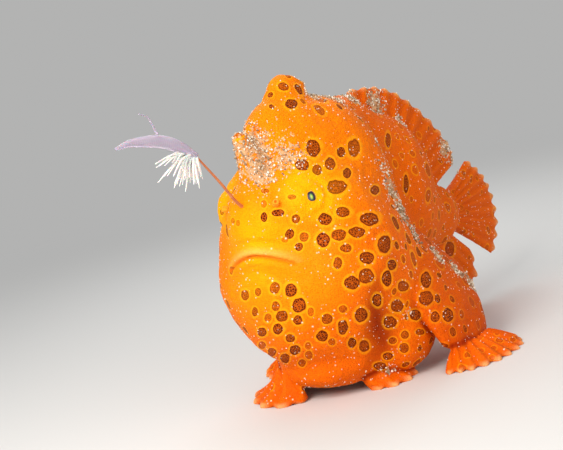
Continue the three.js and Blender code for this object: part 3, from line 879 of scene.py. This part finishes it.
def skin_material():
    """Orange to yellow with painted light on the upper front, netted dark spots in pale rings, pores, pale
    specks and laid silt, painted shade low down, at the rear, on the arms, in the creases and in the mouth
    slit, and a pale upper lip that is partly a painted highlight.
    """
    m = Nodes("frogfish skin")
    broad = m.texture("ShaderNodeTexNoise", 70, Detail=4).outputs["Fac"]
    fine = m.texture("ShaderNodeTexNoise", 1000, Detail=3).outputs["Fac"]
    wobble = m.texture("ShaderNodeTexNoise", 430, Detail=1).outputs["Fac"]
    pores = m.texture("ShaderNodeTexVoronoi", 1650, Randomness=0.55).outputs["Distance"]
    # The yellow value also carries painted light on the upper front of the body
    base = m.blend(m.value("yellow"), rgb(246, 110, 0), rgb(255, 160, 0))
    brightest = m.math("POWER", m.value("yellow"), 5.0)
    base = m.blend(m.math("MULTIPLY", brightest, 0.35), base, rgb(255, 190, 0))
    patch = m.ramp(broad, [(0.38, grey(0)), (0.68, grey(1))])
    base = m.blend(m.math("MULTIPLY", patch, 0.35), base, rgb(232, 92, 2))
    base = m.blend(m.math("MULTIPLY", m.value("shade"), 0.75), base, rgb(202, 74, 2))
    # Painted shade in the creases at the arm joints and in the furrows
    base = m.blend(m.math("MULTIPLY", m.value("crease_shade"), 0.85), base, rgb(132, 20, 2))
    dots = m.ramp(pores, [(0.12, grey(1)), (0.4, grey(0))])
    even = m.math("SUBTRACT", 1.0, m.math("MULTIPLY", m.value("yellow"), 0.65))
    base = m.blend(m.math("MULTIPLY", m.math("MULTIPLY", dots, even), 0.55), base, rgb(168, 48, 0))
    wavy = m.math("MULTIPLY", m.math("SUBTRACT", wobble, 0.5), 0.5)
    edge = m.math("ADD", m.value("spot"), wavy)
    ring_stops = [(0.47, grey(0)), (0.53, grey(1)), (0.6, grey(0.75)), (0.74, grey(0))]
    ring = m.ramp(m.math("MULTIPLY", edge, 0.5), ring_stops)
    ringed = m.math("MULTIPLY", ring, m.math("SUBTRACT", 0.62, m.math("MULTIPLY", m.value("shade"), 0.42)))
    base = m.blend(ringed, base, rgb(255, 172, 14))
    net = m.texture("ShaderNodeTexVoronoi", 1500)
    net.feature = "DISTANCE_TO_EDGE"
    threads = m.ramp(net.outputs["Distance"], [(0.03, grey(1)), (0.17, grey(0))])
    core = m.ramp(edge, [(0.88, grey(1)), (0.99, grey(0))])
    core = m.math("MULTIPLY", core, m.value("spot_tone"))
    rim = m.ramp(edge, [(0.7, grey(0)), (0.86, grey(1))])
    threads = m.math("MULTIPLY", threads, m.math("SUBTRACT", 1.0, rim))
    brown = m.blend(threads, rgb(78, 20, 2), rgb(196, 88, 8))
    base = m.blend(core, base, brown)
    pale_tip = m.math("MULTIPLY", m.value("tip"), m.value("ray"))
    base = m.blend(m.math("MULTIPLY", pale_tip, 0.6), base, rgb(255, 196, 130))
    furrow = m.math("MULTIPLY", m.value("fin"), m.math("SUBTRACT", 1.0, m.value("ray")))
    base = m.blend(m.math("MULTIPLY", furrow, 0.3), base, rgb(190, 62, 0))
    # Pale upper lip, partly its own colour and partly a painted highlight
    base = m.blend(m.math("MULTIPLY", m.value("lip_and_highlight"), 0.3), base, rgb(255, 206, 130))
    # Painted shade in the mouth slit
    base = m.blend(m.math("MULTIPLY", m.value("slit_shade"), 0.6), base, rgb(196, 66, 4))
    specks = m.texture("ShaderNodeTexVoronoi", 420)
    speck = m.ramp(specks.outputs["Distance"], [(0.06, grey(1)), (0.17, grey(0))])
    scatter = m.texture("ShaderNodeTexNoise", 210, Detail=2).outputs["Fac"]
    chance = m.ramp(scatter, [(0.46, grey(0)), (0.56, grey(1))])
    base = m.blend(m.math("MULTIPLY", m.math("MULTIPLY", speck, chance), 0.9), base, rgb(255, 226, 196))
    mud = m.blend(fine, rgb(132, 90, 48), rgb(238, 206, 164))
    laid = m.math("ADD", m.value("silt"), m.math("MULTIPLY", m.math("SUBTRACT", fine, 0.5), 1.9))
    cover = m.ramp(laid, [(0.5, grey(0)), (0.66, grey(0.8))])
    base = m.blend(cover, base, mud)
    m.link(base, m.shader.inputs["Base Color"])
    rough = m.blend(cover, grey(0.58), grey(0.95))
    m.link(rough, m.shader.inputs["Roughness"])
    m.shader.inputs["Subsurface Weight"].default_value = 0.15
    m.shader.inputs["Subsurface Radius"].default_value = (1.0, 0.45, 0.1)
    m.shader.inputs["Subsurface Scale"].default_value = 0.0015
    m.shader.inputs["Specular IOR Level"].default_value = 0.06
    first = m.bump(pores, 0.55, 0.0003)
    second = m.bump(fine, 0.35, 0.0004, first)
    m.link(second, m.shader.inputs["Normal"])
    return m.material


def eye_material():
    """An upright dark pupil with a painted pale green glint in its middle, in a yellow iris with darker
    streaks; polar is 0 at the pupil's middle.
    """
    m = Nodes("eye")
    # The pupil's pale green middle is a painted glint
    iris = m.ramp(
        m.value("polar"),
        [
            (0.0, rgb(214, 214, 60)),
            (0.05, rgb(140, 180, 60)),
            (0.09, rgb(60, 90, 60)),
            (0.12, rgb(30, 12, 40)),
            (0.19, rgb(44, 10, 40)),
            (0.23, rgb(190, 110, 20)),
            (0.27, rgb(255, 222, 40)),
            (0.45, rgb(255, 196, 6)),
            (0.8, rgb(246, 150, 4)),
        ],
    )
    streaks = m.ramp(m.value("streak"), [(0.45, grey(0)), (0.75, grey(1))])
    base = m.blend(m.math("MULTIPLY", streaks, 0.35), iris, rgb(190, 84, 6))
    m.link(base, m.shader.inputs["Base Color"])
    m.shader.inputs["Roughness"].default_value = 0.12
    m.shader.inputs["Coat Weight"].default_value = 0.8
    m.shader.inputs["Coat Roughness"].default_value = 0.04
    return m.material


def lure_material():
    m = Nodes("lure flesh")
    cloud = m.texture("ShaderNodeTexNoise", 380, Detail=3).outputs["Fac"]
    bands = m.texture("ShaderNodeTexWave", 420, Distortion=2.2).outputs["Fac"]
    body = m.blend(cloud, rgb(214, 200, 220), rgb(240, 232, 244))
    body = m.blend(m.math("MULTIPLY", bands, 0.25), body, rgb(184, 156, 176))
    base = m.blend(m.value("tuft"), body, rgb(255, 250, 244))
    m.link(base, m.shader.inputs["Base Color"])
    clear = m.blend(m.value("tuft"), grey(0.65), grey(0.05))
    m.link(clear, m.shader.inputs["Transmission Weight"])
    m.shader.inputs["Roughness"].default_value = 0.35
    m.shader.inputs["Subsurface Weight"].default_value = 0.3
    m.shader.inputs["Subsurface Scale"].default_value = 0.001
    m.shader.inputs["IOR"].default_value = 1.2
    return m.material


def rod_material():
    m = Nodes("lure rod")
    wave = m.texture("ShaderNodeTexNoise", 500, Detail=2).outputs["Fac"]
    m.link(m.blend(wave, rgb(172, 84, 44), rgb(226, 140, 84)), m.shader.inputs["Base Color"])
    m.shader.inputs["Roughness"].default_value = 0.45
    m.shader.inputs["Subsurface Weight"].default_value = 0.2
    m.shader.inputs["Subsurface Scale"].default_value = 0.0008
    return m.material


def silt_material():
    m = Nodes("silt grains")
    tone = m.ramp(
        m.value("tone"),
        [
            (0.0, rgb(96, 72, 48)),
            (0.35, rgb(170, 144, 112)),
            (0.7, rgb(236, 220, 196)),
            (1.0, rgb(252, 246, 236)),
        ],
    )
    cloud = m.texture("ShaderNodeTexNoise", 3000, Detail=2).outputs["Fac"]
    m.link(m.blend(m.math("MULTIPLY", cloud, 0.3), tone, rgb(120, 92, 64)), m.shader.inputs["Base Color"])
    m.shader.inputs["Roughness"].default_value = 0.8
    return m.material


# The even tone of the studio; the floor begins and ends its change to it at these distances in metres
STUDIO_TONE = (0.45, 0.45, 0.446, 1)
FADE_START = 0.12
FADE_END = 0.6
FLOOR_HALF = 40


def floor_material():
    """Pale and matt near the fish, changing to the even tone of the studio further out."""
    m = Nodes("pale floor")
    cloud = m.texture("ShaderNodeTexNoise", 4, Detail=2).outputs["Fac"]
    m.link(m.blend(cloud, rgb(212, 211, 209), rgb(216, 215, 213)), m.shader.inputs["Base Color"])
    m.shader.inputs["Roughness"].default_value = 0.8
    m.shader.inputs["Specular IOR Level"].default_value = 0.1
    glow = m.add("ShaderNodeEmission")
    glow.inputs["Color"].default_value = STUDIO_TONE
    place = m.add("ShaderNodeTexCoord").outputs["Object"]
    length = m.add("ShaderNodeVectorMath", operation="LENGTH")
    m.link(place, length.inputs[0])
    far = m.add("ShaderNodeMapRange", interpolation_type="SMOOTHSTEP")
    m.link(length.outputs["Value"], far.inputs["Value"])
    far.inputs["From Min"].default_value = FADE_START
    far.inputs["From Max"].default_value = FADE_END
    both = m.add("ShaderNodeMixShader")
    m.link(far.outputs["Result"], both.inputs["Fac"])
    m.link(m.shader.outputs["BSDF"], both.inputs[1])
    m.link(glow.outputs["Emission"], both.inputs[2])
    m.link(both.outputs["Shader"], m.tree.nodes["Material Output"].inputs["Surface"])
    return m.material


# The skin piece
FLESH = [
    "head", "trunk", "tail_stalk", "second_dorsal_spine", "third_dorsal_spine", "dorsal_fin", "anal_fin",
    "caudal_fin", "pectoral_arm_left", "pectoral_arm_right", "pectoral_fin_left", "pectoral_fin_right",
    "pelvic_fin_left", "pelvic_fin_right",
]
skin_look = skin_material()
skin.data.materials.clear()
skin.data.materials.append(skin_look)
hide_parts(*FLESH)
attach(skin, "root")

# Nostril tubes: a place on the snout for each, and a profile of heights and radii over rim and bore
NOSTRIL_FROM = (-14.0, 0, 64)
NOSTRIL_TOWARD = (11.0, 9.2, 2)
NOSTRIL_PROFILE = [(-0.8, 1.25), (0.2, 1.1), (1.1, 0.92), (1.5, 0.86), (1.62, 0.7), (1.5, 0.52), (0.9, 0.45)]
NOSTRIL_AROUND = 20
for name, side in (("nostril_left", 1), ("nostril_right", -1)):
    aim = unit(np.array([NOSTRIL_TOWARD]) * [1, side, 1])
    root = leave_body(np.array([NOSTRIL_FROM]), aim)[0]
    out = unit(body_slope(root[None]))[0]
    wide = unit(np.cross(out, (0, 0, 1)))
    deep = np.cross(out, wide)
    angle = 2 * np.pi * np.arange(NOSTRIL_AROUND) / NOSTRIL_AROUND
    rings = np.array(
        [
            root + out * h + r * (wide * np.cos(angle)[:, None] + deep * np.sin(angle)[:, None])
            for h, r in NOSTRIL_PROFILE
        ]
    )
    tube_piece = mesh_object(name, *ringed_mesh(rings, root - out * 1.0, root + out * 0.7))
    # The nostril tubes get a little of the lip's pale colour and painted highlight
    for key, values in {"spot": 3.0, "yellow": 0.9, "lip_and_highlight": 0.3}.items():
        keep(tube_piece.data, key, np.full(len(tube_piece.data.vertices), values))
    tube_piece.data.materials.append(skin_look)
    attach(tube_piece, "root")

# Eyes: the ball's pole looks outward, with an upright oval pupil
EYE_AROUND = 96
EYE_STEPS = 64
eye_look = eye_material()
for name, side in (("eye_left", 1), ("eye_right", -1)):
    look = unit(EYE_LOOK * [1, side, 1])
    centre = EYE * [1, side, 1]
    upright = unit(np.array([0, 0, 1]) - look * look[2])
    flat = np.cross(upright, look)
    theta = np.pi * np.arange(1, EYE_STEPS) / EYE_STEPS
    phi = 2 * np.pi * np.arange(EYE_AROUND) / EYE_AROUND
    cap = np.sin(theta)[:, None]
    rings = centre + EYE_RADIUS * (
        look * np.cos(theta)[:, None, None]
        + flat * (cap * np.cos(phi))[..., None]
        + upright * (cap * np.sin(phi))[..., None]
    )
    ball_verts, ball_faces = ringed_mesh(rings, centre + look * EYE_RADIUS, centre - look * EYE_RADIUS)
    ball = mesh_object(f"{name}_ball", ball_verts, ball_faces)
    d = (ball_verts - centre) / EYE_RADIUS
    across = d @ flat
    tall = d @ upright
    oval = np.sqrt((across / 0.95) ** 2 + (tall / 1.6) ** 2) / 1.9
    behind = d @ look < 0
    keep(ball.data, "polar", np.where(behind, 1.0, oval * 1.15))
    angle = np.arctan2(tall, across)
    streak = 0.5 + 0.5 * np.sin(angle * 17 + 2 * np.sin(angle * 5))
    keep(ball.data, "streak", streak * ramp(oval, 0.12, 0.25))
    ball.data.materials.append(eye_look)
    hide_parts(name)
    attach(ball, "root")

# The lure: rod, body, whip and tuft
def round_taper(first, last):
    """Radii for a round tube that narrows from first to last."""
    return lambda t: (mix(first, last, t), mix(first, last, t))


ROD_PATH = [(-3, 0, 64.5), (2.4, 0, 68), (9, 0.4, 76), (16, 0, 85.2)]
rod = mesh_object("lure_rod", *tube(ROD_PATH, round_taper(0.55, 0.3), 16, 60))
rod.data.materials.append(rod_material())
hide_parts("illicium")
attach(rod, "root")

LURE_BODY = [
    (16.6, 0, 85.6),
    (24, 0, 90.4),
    (30, -0.5, 92.8),
    (35.5, -1, 93.8),
    (40.5, -1.4, 94.4),
    (46, -1.6, 94),
]
WHIP = [(29, -0.5, 93), (30.4, -0.4, 96.5), (32.4, 0, 100), (36, 0.4, 101.6)]


def lure_radii(t):
    """Radii of the lure's body, which swells and then thins to its end."""
    swell = 0.35 + 1.6 * np.sin(np.pi * np.minimum(0.12 + 0.88 * t, 0.99)) ** 0.8 * (1 - 0.35 * t)
    return swell, swell * 1.1


lure_parts = [tube(LURE_BODY, lure_radii, 28, 90)]
lure_parts.append(tube(WHIP, round_taper(0.45, 0.16), 12, 40))
tuft_start = sum(len(v) for v, _ in lure_parts)
FILAMENTS = 52
for i in range(FILAMENTS):
    turn_share = i / (FILAMENTS - 1)
    climb = mix(0.12, -1.5, turn_share) + rng.normal(0, 0.06)
    length = mix(14.5, 6.8, turn_share) * rng.uniform(0.6, 1.05)
    start = np.array([mix(19.5, 16.6, turn_share), rng.uniform(-0.6, 0.6), mix(87.2, 85.2, turn_share)])
    out = unit([math.cos(climb), rng.uniform(-0.35, 0.35), math.sin(climb)])
    side_bend = rng.normal(0, 0.5, 3)
    halfway = start + out * length * 0.5 + (0, 0, 0.6) + side_bend * 0.6
    end = start + out * length + (0, 0, -0.8) + side_bend
    thick = rng.uniform(0.34, 0.62)
    lure_parts.append(tube([start, halfway, end], round_taper(thick, 0.1), 8, 16))
lure_verts, lure_faces = stacked(lure_parts)
lure = mesh_object("lure_body", lure_verts, lure_faces)
keep(lure.data, "tuft", (np.arange(len(lure_verts)) >= tuft_start).astype(float))
lure.data.materials.append(lure_material())
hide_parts("esca")
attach(lure, "root")

# Loose grains: thick in the silt patches, and a few all over
grain_verts, grain_faces, grain_tone = [], [], []
octa = np.array([(1, 0, 0), (-1, 0, 0), (0, 1, 0), (0, -1, 0), (0, 0, 1), (0, 0, -1)], dtype=float)
octa_faces = [(0, 2, 4), (2, 1, 4), (1, 3, 4), (3, 0, 4), (2, 0, 5), (1, 2, 5), (3, 1, 5), (0, 3, 5)]
chance = silt**1.3 * 0.16 + 0.008
allowed = (points[:, 2] > 2) & (points[:, 2] < BOX_TOP - 1) & (mouth_gap > 3)
picked = np.where((rng.random(len(points)) < chance) & allowed)[0]
for index in picked:
    in_silt = silt[index] > 0.3
    size = rng.uniform(0.12, 0.5) if in_silt else rng.uniform(0.08, 0.26)
    shape = octa * rng.uniform(0.6, 1.3, (6, 1)) * size
    start = len(grain_verts) * 6
    grain_verts.append(points[index] + normals[index] * size * rng.uniform(0.1, 0.9) + shape)
    grain_faces += [tuple(i + start for i in f) for f in octa_faces]
    grain_tone.append(np.full(6, rng.uniform(0.15, 1.0) if in_silt else rng.uniform(0.6, 1.0)))
grains = mesh_object("silt_grains", np.vstack(grain_verts), grain_faces, False)
keep(grains.data, "tone", np.concatenate(grain_tone))
grains.data.materials.append(silt_material())
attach(grains, "root")
print("grains", len(picked))

# Floor, lights and camera
floor = bpy.data.objects.new("floor", bpy.data.meshes.new("floor"))
floor_corners = [(x * FLOOR_HALF, y * FLOOR_HALF, 0) for x, y in ((-1, -1), (1, -1), (1, 1), (-1, 1))]
floor.data.from_pydata(floor_corners, [], [(0, 1, 2, 3)])
bpy.context.scene.collection.objects.link(floor)
floor.data.materials.append(floor_material())


def soft_light(name, place, target, power, size, colour):
    """A square light of this size at place, facing target."""
    light = bpy.data.lights.new(name, "AREA")
    light.energy = power
    light.size = size
    light.color = colour
    obj = bpy.data.objects.new(name, light)
    bpy.context.scene.collection.objects.link(obj)
    obj.location = place
    direction = Vector(target) - Vector(place)
    obj.rotation_euler = direction.to_track_quat("-Z", "Y").to_euler()


middle = to_row([-40, 0, 50])
soft_light("key", to_row([300, 40, 270]), middle, 1.75, 0.2, (1.0, 0.98, 0.94))
soft_light("fill", to_row([120, 420, 160]), middle, 0.75, 0.4, (1.0, 0.95, 0.9))
soft_light("back", to_row([-330, -160, 380]), middle, 0.9, 0.35, (0.94, 0.97, 1.0))
world = bpy.data.worlds.new("studio")
world.use_nodes = True
world.node_tree.nodes["Background"].inputs["Color"].default_value = STUDIO_TONE
bpy.context.scene.world = world

camera = bpy.data.objects.new("camera", bpy.data.cameras.new("camera"))
bpy.context.scene.collection.objects.link(camera)
axes = Matrix([[right[i], up[i], toward[i]] for i in range(3)])
camera.matrix_world = Matrix.Translation(Vector(to_row(camera_at))) @ axes.to_4x4()
SENSOR_WIDTH = 36
camera.data.sensor_width = SENSOR_WIDTH
camera.data.lens = FOCAL * SENSOR_WIDTH / PICTURE[0]
camera.data.clip_start = 0.01
camera.data.clip_end = 200
bpy.context.scene.camera = camera
bpy.context.scene.view_settings.view_transform = "Standard"
